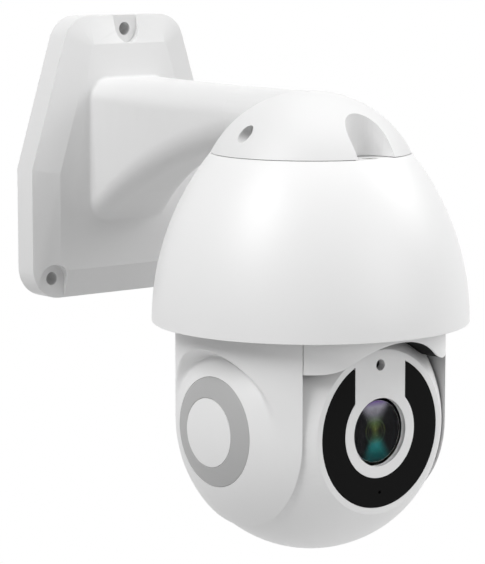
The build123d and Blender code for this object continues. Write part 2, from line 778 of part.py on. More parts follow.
with BuildPart() as eye_front:
    add(eye_shell.part)
    add(eye_inside.part, mode=Mode.SUBTRACT)
    # seats for the trunnion bushes, posts for the tilt motor, the optics and the rear shell
    for side in (LEFT_SIDE, RIGHT_SIDE):
        add(disc(side.offset(BUSH[0]), 9.5, EYE_HALF - BUSH[0]))
    for u, v in tilt_lugs:
        add(disc(spot(RIGHT_SIDE, u, v).offset(TILT_MOTOR[1]), 2.6, EYE_HALF - WALL - TILT_MOTOR[1]))
    for x, v in POSTS:
        add(disc(spot(face(FACE_WALL), x, v), 2.5, FACE_WALL - SENSOR_BOARD[0]))
    for x, v in cover_bosses:
        add(disc(spot(face(FACE + EYE_JOIN), x, v), 3.5, 10))
    add(eye_shell.part, mode=Mode.INTERSECT)
    add(slab((-60, -60, -60), (60, EYE_JOIN, 60)), mode=Mode.INTERSECT)
    # bores for all of these
    for side in (LEFT_SIDE, RIGHT_SIDE):
        add(disc(side.offset(BUSH[0]), BUSH_R, 5), mode=Mode.SUBTRACT)
    for u, v in tilt_lugs:
        add(disc(spot(RIGHT_SIDE, u, v).offset(TILT_MOTOR[1]), 1.2, 5), mode=Mode.SUBTRACT)
    for x, v in POSTS:
        add(disc(spot(face(SENSOR_BOARD[0]), x, v), 1.0, 6), mode=Mode.SUBTRACT)
    for x, v in cover_bosses:
        add(disc(spot(face(FACE + EYE_JOIN), x, v), 1.5, 8), mode=Mode.SUBTRACT)
    # face: U-shaped tray, window seat, lamp holes, light sensor and microphone
    extrude(light_panel_outline(0, 0), amount=-PANEL_THICK, mode=Mode.SUBTRACT)
    add(disc(face(0), LENS_R, -LENS_SUNK - WINDOW_THICK), mode=Mode.SUBTRACT)
    add(disc(face(0), 12, -FACE_WALL), mode=Mode.SUBTRACT)
    for angle in LAMP_ANGLES:
        u, v = around(LAMP_AT, 90 - angle)
        add(disc(spot(face(0), u, v), LAMP_R + 0.4, -FACE_WALL), mode=Mode.SUBTRACT)
    add(disc(spot(face(0), 0, SENSOR_UP), SENSOR_R, -FACE_WALL), mode=Mode.SUBTRACT)
    add(disc(spot(face(0), 0, -MIC_DOWN), MIC_R, -FACE_WALL), mode=Mode.SUBTRACT)
save(eye_front, "eye_front")

with BuildPart() as eye_rear:
    add(eye_shell.part)
    add(eye_inside.part, mode=Mode.SUBTRACT)
    for x, v in cover_bosses:
        add(disc(spot(face(FACE + EYE_JOIN + EYE_SEAL), x, v), 3.5, -30))
    add(eye_shell.part, mode=Mode.INTERSECT)
    add(slab((-60, EYE_JOIN + EYE_SEAL, -60), (60, 60, 60)), mode=Mode.INTERSECT)
    for x, v in cover_bosses:
        add(disc(spot(face(cover_seat), x, v), 2.9, -30), mode=Mode.SUBTRACT)
        add(disc(spot(face(cover_seat), x, v), 1.5, 10), mode=Mode.SUBTRACT)
save(eye_rear, "eye_rear")

with BuildPart() as eye_seal:
    add(ball(EYE_R - 0.3, EYE_HALF - 0.3))
    add(eye_inside.part, mode=Mode.SUBTRACT)
    add(slab((-60, EYE_JOIN, -60), (60, EYE_JOIN + EYE_SEAL, 60)), mode=Mode.INTERSECT)
save(eye_seal, "eye_seal")

with BuildPart() as eye_screws:
    for x, v in cover_bosses:
        seat = face(cover_seat).from_local_coords((x, v, 0))
        add(screw(Plane(origin=seat, z_dir=(0, 1, 0)), 2.7, 2.0, 1.5, 12))
save(eye_screws, "eye_screws")

with BuildPart() as tilt_bushes:
    for side in (LEFT_SIDE, RIGHT_SIDE):
        add(disc(side.offset(BUSH[0]), BUSH_R, BUSH[1] - BUSH[0], TRUNNION_R + RUNNING))
save(tilt_bushes, "tilt_bushes")

with BuildPart() as light_panel:
    extrude(light_panel_outline(0, SEAM), amount=-PANEL_THICK)
    tips = light_panel.edges().filter_by(Axis.Y).filter_by(lambda e: e.center().Z - BALL_Z > 14)
    fillet(tips, 0.9)
    add(disc(spot(face(0), 0, -MIC_DOWN), MIC_R, -PANEL_THICK), mode=Mode.SUBTRACT)
save(light_panel, "light_panel")

with BuildPart() as lens_window:
    add(disc(face(LENS_SUNK), LENS_R, -WINDOW_THICK))
save(lens_window, "lens_window")

with BuildPart() as led_board:
    with BuildSketch(face(LED_BOARD[0])):
        Circle(31)
        Circle(14.5, mode=Mode.SUBTRACT)
        with Locations(*POSTS):
            Circle(2.9, mode=Mode.SUBTRACT)
    extrude(amount=LED_BOARD[0] - LED_BOARD[1])
save(led_board, "led_board")

with BuildPart() as lamps:
    for angle in LAMP_ANGLES:
        u, v = around(LAMP_AT, 90 - angle)
        add(disc(spot(face(LED_BOARD[0]), u, v), LAMP_R, 1.2))
        add(disc(spot(face(LED_BOARD[0]), u, v), LAMP_R - 0.5, 2.4))
        fillet(lamps.faces().sort_by(Axis.Y)[0].edges(), 0.8)
save(lamps, "lamps")

with BuildPart() as light_sensor:
    add(disc(spot(face(LED_BOARD[0]), 0, SENSOR_UP), SENSOR_R - 0.3, LED_BOARD[0] - 2.6))
    fillet(light_sensor.faces().sort_by(Axis.Y)[0].edges(), 0.8)
save(light_sensor, "light_sensor")

with BuildPart() as microphone:
    add(disc(spot(face(LED_BOARD[0]), 0, -MIC_DOWN), 2.0, 0.9))
save(microphone, "microphone")

with BuildPart() as lens_barrel:
    add(disc(face(BARREL_STEP), BARREL_R[0], BARREL_STEP - BARREL_FRONT))
    add(disc(face(BARREL_STEP), BARREL_R[1], BARREL_STEP - BARREL_END))
    add(disc(face(BARREL_FRONT), 9.5, -3.8), mode=Mode.SUBTRACT)
    add(disc(face(BARREL_FRONT), 6.0, -BARREL_END), mode=Mode.SUBTRACT)
save(lens_barrel, "lens_barrel")


def element(depth, radius, edge, bulge):
    """A lens element whose flat back lies at a depth behind the face."""
    dome_r = (radius**2 + bulge**2) / (2 * bulge)
    lean = asin(radius / dome_r) / 2
    back = -REACH - FACE + depth
    with BuildPart() as made:
        with BuildSketch(Plane(origin=(0, back, BALL_Z), x_dir=(1, 0, 0), z_dir=(0, 0, 1))):
            with BuildLine():
                Polyline((0, -edge - bulge), (0, 0), (radius, 0), (radius, -edge))
                ThreePointArc(
                    (radius, -edge),
                    (dome_r * sin(lean), -edge - bulge + dome_r * (1 - cos(lean))),
                    (0, -edge - bulge),
                )
            make_face()
        revolve(axis=Axis((0, 0, BALL_Z), (0, 1, 0)).located(Location((0, -REACH, 0))))
    return made.part


with BuildPart() as lens_elements:
    add(element(6.4, 9.5, 1.0, 2.4))
    add(element(16.0, 6.0, 1.0, 1.6))
save(lens_elements, "lens_elements")

with BuildPart() as lens_holder:
    with BuildSketch(face(HOLDER[0])):
        RectangleRounded(2 * HOLDER_HALF, 2 * HOLDER_HALF, 2)
    extrude(amount=HOLDER[0] - HOLDER[1])
    add(disc(face(HOLDER[0]), BARREL_R[1], HOLDER[0] - BARREL_END - 0.2), mode=Mode.SUBTRACT)
    add(disc(face(HOLDER[0]), 5, -11), mode=Mode.SUBTRACT)
    add(slab((-20, -FACE + SLIDE_SLOT[0], -5.5), (20, -FACE + SLIDE_SLOT[1], 5.5)), mode=Mode.SUBTRACT)
save(lens_holder, "lens_holder")

with BuildPart() as image_sensor:
    add(slab((-3.2, -FACE + 20.6, -2.6), (3.2, -FACE + 22.0, 2.6)))
save(image_sensor, "image_sensor")

with BuildPart() as sensor_board:
    add(slab((-17, -FACE + SENSOR_BOARD[0], -18), (17, -FACE + SENSOR_BOARD[1], 18)))
    for x, v in POSTS:
        add(disc(spot(face(SENSOR_BOARD[0]), x, v), 1.2, -2), mode=Mode.SUBTRACT)
save(sensor_board, "sensor_board")

with BuildPart() as sensor_screws:
    for x, v in POSTS:
        seat = face(SENSOR_BOARD[1]).from_local_coords((x, v, 0))
        add(screw(Plane(origin=seat, z_dir=(0, 1, 0)), 1.9, 1.2, 1.0, 6))
save(sensor_screws, "sensor_screws")

# ---------------------------------------------------------------- day and night filter
with BuildPart() as filter_slide:
    add(slab((-13, -FACE + SLIDE[0], -4.6), (5, -FACE + SLIDE[1], 4.6)))
    for x in (0, -SLIDE_TRAVEL):
        add(disc(spot(face(SLIDE[0]), x, 0), 3.4, -2), mode=Mode.SUBTRACT)
save(filter_slide, "filter_slide")

with BuildPart() as filters:
    for x in (0, -SLIDE_TRAVEL):
        add(disc(spot(face(SLIDE[0] + 0.2), x, 0), 3.4, -0.6))
save(filters, "filters")

# ---------------------------------------------------------------- tilt drive
with BuildPart() as tilt_gear:
    add(gear(RIGHT_SIDE.offset(TILT_GEAR[0]), TILT_TEETH, TILT_MOTOR_AT, 3.5, TRUNNION_R))
save(tilt_gear, "tilt_gear")

tilt_motor_face = spot(RIGHT_SIDE, tilt_motor_u, tilt_motor_v).offset(TILT_MOTOR[1])
with BuildPart() as tilt_motor:
    backwards = Plane(origin=tilt_motor_face.origin, x_dir=(0, 1, 0), z_dir=(-1, 0, 0))
    add(motor(backwards, 10, TILT_MOTOR[1] - TILT_MOTOR[0], 13.5, -tilt_lug_angle, 8))
save(tilt_motor, "tilt_motor")

with BuildPart() as tilt_motor_screws:
    for u, v in tilt_lugs:
        seat = spot(RIGHT_SIDE, u, v).offset(TILT_MOTOR[1] - 1)
        add(screw(Plane(origin=seat.origin, z_dir=(-1, 0, 0)), 2.0, 1.3, 1.2, 5.5))
save(tilt_motor_screws, "tilt_motor_screws")

with BuildPart() as tilt_pinion:
    centre = tilt_motor_face.offset(TILT_GEAR[0] - TILT_MOTOR[1])
    add(gear(centre, PINION_TEETH, TILT_MOTOR_AT + pi + pi / PINION_TEETH, 3.5, SHAFT_R))
save(tilt_pinion, "tilt_pinion")

with BuildPart() as tilt_motor_shaft:
    add(disc(tilt_motor_face.offset(-7), SHAFT_R, TILT_GEAR[1] - TILT_MOTOR[1] + 7))
save(tilt_motor_shaft, "tilt_motor_shaft")
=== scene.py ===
"""The looks of a wall-mounted pan and tilt camera, laid out as an add-on and run as a script."""

import json
from math import hypot, pi, radians, sqrt

import bmesh
import bpy
from bpy.props import FloatProperty, FloatVectorProperty, PointerProperty
from bpy.types import Operator, Panel, PropertyGroup
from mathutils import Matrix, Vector


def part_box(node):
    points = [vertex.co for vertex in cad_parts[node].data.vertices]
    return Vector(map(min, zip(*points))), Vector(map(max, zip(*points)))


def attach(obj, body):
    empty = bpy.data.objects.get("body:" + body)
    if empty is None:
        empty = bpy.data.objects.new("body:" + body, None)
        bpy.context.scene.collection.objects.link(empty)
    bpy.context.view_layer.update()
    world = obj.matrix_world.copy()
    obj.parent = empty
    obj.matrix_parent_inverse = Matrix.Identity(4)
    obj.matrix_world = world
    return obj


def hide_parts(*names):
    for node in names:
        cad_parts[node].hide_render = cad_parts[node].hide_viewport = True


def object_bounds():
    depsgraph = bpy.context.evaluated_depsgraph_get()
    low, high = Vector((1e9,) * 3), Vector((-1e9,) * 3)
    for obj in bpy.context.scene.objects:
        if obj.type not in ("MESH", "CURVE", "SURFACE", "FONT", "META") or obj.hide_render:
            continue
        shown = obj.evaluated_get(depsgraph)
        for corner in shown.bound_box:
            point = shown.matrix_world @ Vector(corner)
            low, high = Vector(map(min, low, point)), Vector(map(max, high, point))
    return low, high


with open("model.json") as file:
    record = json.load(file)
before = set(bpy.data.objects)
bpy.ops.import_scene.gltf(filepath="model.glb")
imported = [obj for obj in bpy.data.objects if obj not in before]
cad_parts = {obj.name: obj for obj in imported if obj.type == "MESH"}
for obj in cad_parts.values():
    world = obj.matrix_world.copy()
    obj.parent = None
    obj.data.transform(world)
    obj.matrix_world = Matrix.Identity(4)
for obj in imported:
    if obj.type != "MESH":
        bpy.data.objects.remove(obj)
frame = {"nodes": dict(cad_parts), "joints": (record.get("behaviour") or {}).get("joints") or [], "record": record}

CAD_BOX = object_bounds()

bl_info = {
    "name": "Pan and tilt camera",
    "version": (1, 0, 0),
    "blender": (4, 5, 0),
    "location": "3D View > Sidebar > Camera head",
    "description": "Builds the shells, face, optics and finishes of a wall camera",
    "category": "Add Mesh",
}

MM = 0.001
SIDES = {"left": -1, "right": 1}

# The axes of the head, read from the frame's joints.
JOINTS = {joint["name"]: joint for joint in frame["joints"]}
PAN_POINT = Vector(JOINTS["pan"]["pos_m"])
EYE_POINT = Vector(JOINTS["tilt"]["pos_m"])
FACE_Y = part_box("light_panel")[0].y  # the flat face of the eye
LENS_POINT = Vector((EYE_POINT.x, FACE_Y, EYE_POINT.z))
INWARD = Vector((0, 1, 0))
UP = Vector((0, 0, 1))
ACROSS = Vector((1, 0, 0))


# ---------------------------------------------------------------- settings
class CameraColours(PropertyGroup):
    """Colours of the finishes."""

    shell: FloatVectorProperty(
        name="Shell", description="White moulded plastic of hood and head",
        subtype="COLOR", size=3, default=(0.79, 0.79, 0.79))
    # The bracket's default is darker than the shell's white as painted shade: it stands in for the shade that
    # falls on the plate behind the head.
    bracket: FloatVectorProperty(
        name="Bracket", description="Powder coat of the wall bracket",
        subtype="COLOR", size=3, default=(0.71, 0.71, 0.71))
    ring: FloatVectorProperty(
        name="Ear ring", description="Grey rings on the cheeks",
        subtype="COLOR", size=3, default=(0.42, 0.42, 0.42))
    panel: FloatVectorProperty(
        name="Lamp panel", description="Smoked panel round the lens",
        subtype="COLOR", size=3, default=(0.006, 0.006, 0.006))


class CameraShape(PropertyGroup):
    """Sizes of the moulded pieces."""

    wall: FloatProperty(
        name="Cheek wall", description="Thickness of a cheek's wall",
        subtype="DISTANCE", unit="LENGTH", default=0.0022)


class CameraStage(PropertyGroup):
    """Camera and light."""

    focal: FloatProperty(
        name="Focal length", description="Lens of the camera, in millimetres",
        unit="CAMERA", default=160.4)
    heading: FloatProperty(
        name="Heading", description="Turn of the view about the upright axis",
        subtype="ANGLE", default=radians(-39.43))
    pitch: FloatProperty(
        name="Pitch", description="How far the view looks down",
        subtype="ANGLE", default=radians(8.03))
    place: FloatVectorProperty(
        name="Place", description="Where the camera stands",
        subtype="TRANSLATION", unit="LENGTH", size=3,
        default=(-0.64197, -0.87061, 0.09573))
    surround: FloatProperty(
        name="Surround", description="Strength of the white surround", min=0.0, default=0.2)


# ---------------------------------------------------------------- shader maths
class Wire:
    """An output socket with Python arithmetic: each operator adds a Math node."""

    def __init__(self, nodes, socket):
        self.nodes = nodes
        self.socket = socket

    def apply(self, operation, *others):
        return self.combine(operation, self, *others)

    def combine(self, operation, *values):
        return self.nodes.node(
            "ShaderNodeMath", {"operation": operation}, dict(enumerate(values)))

    def __add__(self, other):
        return self.combine("ADD", self, other)

    def __sub__(self, other):
        return self.combine("SUBTRACT", self, other)

    def __rsub__(self, other):
        return self.combine("SUBTRACT", other, self)

    def __mul__(self, other):
        return self.combine("MULTIPLY", self, other)

    def __truediv__(self, other):
        return self.combine("DIVIDE", self, other)

    def __lt__(self, other):
        return self.combine("LESS_THAN", self, other)

    __radd__ = __add__
    __rmul__ = __mul__


class Nodes:
    """A node tree that is filled node by node."""

    def __init__(self, tree):
        self.tree = tree

    def node(self, kind, settings=None, inputs=None, output=0):
        """Adds a node: settings are set first, then the values or links of its sockets."""
        made = self.tree.nodes.new(kind)
        for key, value in (settings or {}).items():
            if key == "stops":
                self.set_stops(made.color_ramp, value)
            else:
                setattr(made, key, value)
        for key, value in (inputs or {}).items():
            self.plug(made.inputs[key], value)
        return self.wire(made, output)

    def wire(self, node, output=0):
        return Wire(self, node.outputs[output])

    def set_stops(self, ramp, stops):
        while len(ramp.elements) < len(stops):
            ramp.elements.new(1.0)
        for element, (place, colour) in zip(ramp.elements, stops):
            element.position = place
            element.color = (*colour, 1.0)

    def plug(self, socket, value):
        if isinstance(value, Wire):
            self.tree.links.new(value.socket, socket)
        elif isinstance(value, (tuple, list)) and len(value) == 3 and socket.type == "RGBA":
            socket.default_value = (*value, 1.0)
        else:
            socket.default_value = value

    def ray(self, *kinds):
        """1 where the light path is of one of these kinds, such as Is Camera Ray."""
        found = self.node("ShaderNodeLightPath", output=kinds[0])
        for kind in kinds[1:]:
            found = found.apply("MAXIMUM", self.node("ShaderNodeLightPath", output=kind))
        return found


class Finish(Nodes):
    """A material made of nodes, ending in one Principled shader."""

    def __init__(self, name, **fixed):
        self.material = bpy.data.materials.new(name)
        self.material.use_nodes = True
        super().__init__(self.material.node_tree)
        self.shader = self.tree.nodes["Principled BSDF"]
        for socket, value in fixed.items():
            self.set(socket.replace("_", " "), value)

    def set(self, socket, value):
        self.plug(self.shader.inputs[socket], value)

    def place(self):
        return self.node("ShaderNodeTexCoord", output="Object")

    def noise(self, scale, detail=2.0):
        return self.node(
            "ShaderNodeTexNoise", None,
            {"Vector": self.place(), "Scale": scale, "Detail": detail})

    def bump(self, height, strength, distance):
        self.set("Normal", self.node(
            "ShaderNodeBump", None,
            {"Height": height, "Strength": strength, "Distance": distance}))

    def tint(self, amount, dark, light):
        return self.node(
            "ShaderNodeMix", {"data_type": "RGBA"}, {0: amount, 6: dark, 7: light}, output=2)


# The satin finish of mouldings, castings and plated parts.
SLOW_SCALE = 35.0
DARKEST = 0.985
GLOSS_SPREAD = 0.06
GRAIN_STRENGTH = 0.12
GRAIN_DEPTH = 0.00006

# Painted reflection on the lens: a fan of painted light that is widest above and below the middle, in millimetres.
REFLECTION_FAN_LEAN = 0.06
REFLECTION_FAN_OFFSET = 0.4
REFLECTION_FAN_SPREAD = 0.62
REFLECTION_FAN_EDGE = (2.8, -3.4)
REFLECTION_STREAK_SCALE = 420.0
REFLECTION_STREAK_SPREAD = 0.7
REFLECTION_STREAK_LEAST = 0.65
# Thin rings of painted reflected light, standing for the edges of the glass elements inside.
REFLECTED_RING_PLACES = (3.5, 4.6, 5.0)
REFLECTED_RING_HALF = 0.14
REFLECTED_RING_STRENGTH = 0.3
GLASS_DARK = (0.004, 0.004, 0.005)
# Colours of the painted reflection. They show only where the painted fan and rings lie.
REFLECTION_TALL = 26.6
REFLECTION_COLOURS = (  # from the foot of the lens to its top: place across it, and its colour there
    (0.04, (0.002, 0.020, 0.022)),
    (0.16, (0.004, 0.045, 0.045)),
    (0.30, (0.012, 0.120, 0.120)),
    (0.42, (0.040, 0.085, 0.045)),
    (0.52, (0.110, 0.130, 0.030)),
    (0.62, (0.060, 0.095, 0.035)),
    (0.74, (0.110, 0.110, 0.125)),
    (0.86, (0.230, 0.220, 0.260)),
    (0.96, (0.080, 0.030, 0.200)),
)


def shade(colour, factor):
    return tuple(channel * factor for channel in colour)


def moulded(name, colour, roughness, grain):
    """Satin moulding: fine grain, and a slow change of shade and gloss over the surface."""
    finish = Finish(name)
    slow = finish.noise(SLOW_SCALE, 3.0)
    fine = finish.noise(grain)
    finish.set("Base Color", finish.tint(slow, shade(colour, DARKEST), colour))
    finish.set("Roughness", slow * GLOSS_SPREAD + (roughness - GLOSS_SPREAD / 2))
    finish.bump(fine, GRAIN_STRENGTH, GRAIN_DEPTH)
    return finish


def coated_glass():
    """Dark lens glass with a painted reflection in its colour: violet above, olive at the middle and teal below.
    """
    finish = Finish("coated_glass", Roughness=0.04, IOR=1.14)
    parts = finish.node("ShaderNodeSeparateXYZ", None, {0: finish.place()}).socket.node
    height = finish.wire(parts, "Z") / MM - LENS_POINT.z / MM
    width = finish.wire(parts, "X") / MM - LENS_POINT.x / MM
    aside = (width + (height * REFLECTION_FAN_LEAN + REFLECTION_FAN_OFFSET)).apply("ABSOLUTE")
    reflection_fan = finish.node(
        "ShaderNodeMapRange", {"interpolation_type": "SMOOTHSTEP"},
        {"Value": aside - height.apply("ABSOLUTE") * REFLECTION_FAN_SPREAD,
         "From Min": REFLECTION_FAN_EDGE[0], "From Max": REFLECTION_FAN_EDGE[1], "To Min": 0.0, "To Max": 1.0})
    reflected_bands = finish.node(
        "ShaderNodeValToRGB", {"stops": REFLECTION_COLOURS}, {"Fac": height / REFLECTION_TALL + 0.5})
    middle = (aside.apply("MULTIPLY", aside) + height.apply("MULTIPLY", height)).apply("SQRT")
    lit = reflection_fan * (finish.noise(REFLECTION_STREAK_SCALE, 3.0) * REFLECTION_STREAK_SPREAD + REFLECTION_STREAK_LEAST)
    lit = lit + rings(middle, REFLECTED_RING_PLACES, REFLECTED_RING_HALF) * REFLECTED_RING_STRENGTH
    # The painted reflection is mixed into the base colour: dark glass, with the reflection colours where the fan
    # and rings lie.
    colour = finish.tint(lit.apply("MINIMUM", 1.0), GLASS_DARK, reflected_bands)
    finish.set("Base Color", colour)
    return finish


def rings(distance, places, half):
    """Thin rings at distances from a point."""
    total = 0.0
    for place in places:
        total = ((distance - place).apply("ABSOLUTE") < half) + total
    return total


def make_finishes(colours):
    """All finishes of the object, by the record's slot names."""
    made = {slot: moulded(name, colour, roughness, grain)
            for slot, name, colour, roughness, grain in (
                ("white_shell", "moulded_white", tuple(colours.shell), 0.42, 1800.0),
                # The bracket's colour is darker than the shell's as painted shade on the plate.
                ("bracket_white", "powder_coat_white", tuple(colours.bracket), 0.48, 1500.0),
                ("grey_trim", "moulded_grey", tuple(colours.ring), 0.5, 2200.0),
                ("acetal", "natural_acetal", (0.72, 0.70, 0.64), 0.4, 1200.0),
                ("black_plastic", "moulded_black", (0.02, 0.02, 0.02), 0.45, 1500.0),
                ("black_rubber", "black_rubber", (0.006, 0.006, 0.006), 0.75, 1500.0),
                ("grey_rubber", "dark_silicone", (0.05, 0.05, 0.05), 0.7, 1500.0),
                ("circuit_board", "solder_mask", (0.01, 0.09, 0.04), 0.3, 900.0),
                ("black_metal", "black_anodised", (0.012, 0.012, 0.013), 0.38, 2500.0),
                ("steel", "zinc_plate", (0.62, 0.62, 0.60), 0.32, 1500.0),
                ("motor_steel", "plated_can", (0.66, 0.65, 0.62), 0.32, 1500.0),
                ("smoked_panel", "smoked_acrylic", tuple(colours.panel), 0.14, 300.0))}
    for slot in ("steel", "motor_steel"):
        made[slot].set("Metallic", 1.0)
    made["black_rubber"].set("IOR", 1.2)
    made["smoked_panel"].set("IOR", 1.12)
    # The lens glass carries a painted reflection in its colour.
    made["coated_glass"] = coated_glass()
    made["lamp_lens"] = Finish(
        "dark_epoxy", Base_Color=(0.008, 0.008, 0.009), Roughness=0.2, IOR=1.2)
    made["clear_window"] = Finish(
        "clear_glass", Base_Color=(1.0, 1.0, 1.0), Roughness=0.0, IOR=1.04,
        Transmission_Weight=1.0)
    return made


FINISHES = {}

# The bracket's and the head's shape, in millimetres.
PLATE_FLAT = 14.5  # depth of the plate's raised middle
ARM_HALF = 22.0
ARM_ROOT = 1.0  # rounding where the arm leaves the plate
ROOT_FOLD = -0.6  # an inner corner folds by more than this, in radians
ON_PLATE = 0.03
CASTING_EDGE = 0.5
SHELL_EDGE = 0.3
TRIM_EDGE = 0.15
EAR_R = 30.5  # where drum and ball of a cheek meet
EAR_BLEND = 4.0  # width of the soft run between them
RECESS_DEEP = 1.0  # seat of the ear ring and cap
RECESS_STEP = 0.02  # width of the wall round that seat
FINE_STEP = 0.35  # spacing of a cheek's rings near EAR_R
COARSE_STEP = 1.2
CHEEK_REACH = 1.4  # how far a cheek's disc reaches before it is cut, in its own radii
CHEEK_STEPS = 256
MERGE = 0.001
SEAM = 0.1
GLASS_EDGE = 0.25
LENS_EDGE = 0.1
LENS_GAP = 0.02
FLANGE_R = 33.0
FLANGE_WALL = 1.0  # the least thickness of a cheek's flat inner wall

FLOOR_DROP = 0.45  # how far the floor lies below the camera, in metres
FLOOR_HALF = 6.0
WHITE_FROM = 0.1  # distance on the floor where it starts to turn white
WHITE_AT = 0.9
LAMPS = (  # soft boxes: name, place in metres, width, watts
    ("overhead", (-0.10, -0.20, 1.30), 1.2, 5.0),
    ("left", (-1.15, -0.10, 1.00), 0.9, 17.4),
    ("front", (0.35, -1.40, 0.25), 0.9, 5.5),
    ("right", (1.00, -0.60, 0.85), 0.9, 10.0),
)


# ---------------------------------------------------------------- mesh tools
def coat(piece, slot):
    """Gives a piece the finish of one of the record's slots."""
    piece.data.materials.clear()
    piece.data.materials.append(FINISHES[slot].material)


def settle(piece, body, slot, *nodes):
    """Puts a finished piece into the frame: finish, body, and the nodes that it stands for."""
    coat(piece, slot)
    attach(piece, body)
    if nodes:
        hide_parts(*nodes)
    return piece


class Turning:
    """A half outline drawn point by point and spun about an axis; sizes in millimetres."""

    def __init__(self, centre, axis, across):
        self.centre, self.axis, self.across = centre, axis, across
        self.bm = bmesh.new()
        self.here = None

    def to(self, radius, along):
        """A straight run to a radius from the axis and a distance along it."""
        place = self.centre + (self.across * radius + self.axis * along) * MM
        there = self.bm.verts.new(place)
        if self.here:
            self.bm.edges.new((self.here, there))
        self.here = there
        return self

    def spin(self, name, steps=128):
        """The finished solid."""
        bm = self.bm
        bmesh.ops.spin(
            bm, geom=bm.verts[:] + bm.edges[:], cent=self.centre, axis=self.axis,
            angle=2 * pi, steps=steps, use_merge=True, use_duplicate=False)
        return solid(bm, name)


def place_mesh(bm, mesh, sharp=None):
    """Fills a mesh, shades it where an angle in degrees is given, and puts it in the scene."""
    bm.to_mesh(mesh)
    bm.free()
    if sharp:
        mesh.shade_smooth()
        mesh.set_sharp_from_angle(angle=radians(sharp))
    piece = bpy.data.objects.new(mesh.name, mesh)
    bpy.context.scene.collection.objects.link(piece)
    return piece


def solid(bm, name, sharp=35.0):
    """Merges doubles, points the faces outwards and makes the object."""
    bmesh.ops.remove_doubles(bm, verts=bm.verts, dist=0.002 * MM)
    bmesh.ops.recalc_face_normals(bm, faces=bm.faces)
    return place_mesh(bm, bpy.data.meshes.new(name), sharp)


def body_of(node):
    return next(b for b, nodes in frame["record"]["behaviour"]["bodies"].items() if node in nodes)


def slot_of(node):
    return next(s["material_slot"] for s in frame["record"]["subparts"] if s["node"] == node)


def refined(node, name, edge=SHELL_EDGE, segments=2, sharp=28.0, reshape=None):
    """A merged copy of a node with softened edges, which stands for it."""
    mesh = frame["nodes"][node].data.copy()
    mesh.name = name
    bm = bmesh.new()
    bm.from_mesh(mesh)
    bmesh.ops.remove_doubles(bm, verts=bm.verts, dist=0.01 * MM)
    bmesh.ops.dissolve_limit(
        bm, angle_limit=radians(0.3), verts=bm.verts, edges=bm.edges, delimit={"NORMAL"})
    if reshape:
        reshape(bm)
    piece = place_mesh(bm, mesh, sharp)
    bevel = piece.modifiers.new("soft_edges", "BEVEL")
    bevel.width = edge * MM
    bevel.segments = segments
    bevel.limit_method = "ANGLE"
    bevel.angle_limit = radians(sharp)
    bevel.harden_normals = True
    bevel.use_clamp_overlap = True
    return settle(piece, body_of(node), slot_of(node), node)


# ---------------------------------------------------------------- operators
class CameraPiece:
    bl_options = {"REGISTER", "UNDO"}


class PTZ_OT_finishes(CameraPiece, Operator):
    """Makes the finishes and gives one to every node of the frame"""

    bl_idname = "ptz.finishes"
    bl_label = "Finishes"

    def execute(self, context):
        FINISHES.update(make_finishes(context.scene.ptz_colours))
        for name, node in frame["nodes"].items():
            coat(node, slot_of(name))
        return {"FINISHED"}


class PTZ_OT_shells(CameraPiece, Operator):
    """Softens the edges of the shells"""

    bl_idname = "ptz.shells"
    bl_label = "Shells"

    def execute(self, context):
        refined("wall_bracket", "bracket_casting", CASTING_EDGE, 3, reshape=self.arm_root)
        refined("hood", "hood_shell", CASTING_EDGE, 3)
        for node in ("yoke", "eye_front", "eye_rear"):
            refined(node, node + "_shell")
        for side in SIDES:
            refined(f"{side}_ear_ring", f"{side}_ring", TRIM_EDGE)
            refined(f"{side}_ear_cap", f"{side}_cap", TRIM_EDGE)
        return {"FINISHED"}

    def arm_root(self, bm):
        """Rounds the inner corner where the arm leaves the plate."""
        root = [e for e in bm.edges if e.is_manifold and e.calc_face_angle_signed() < ROOT_FOLD
                and all(self.at_root(v) for v in e.verts)]
        bmesh.ops.bevel(
            bm, geom=root, offset=ARM_ROOT * MM, segments=4, profile=0.5, affect="EDGES",
            material=-1, clamp_overlap=False)

    def at_root(self, vert):
        on_plate = abs(vert.co.y / MM + PLATE_FLAT) < ON_PLATE
        return on_plate and abs(vert.co.x / MM) < ARM_HALF


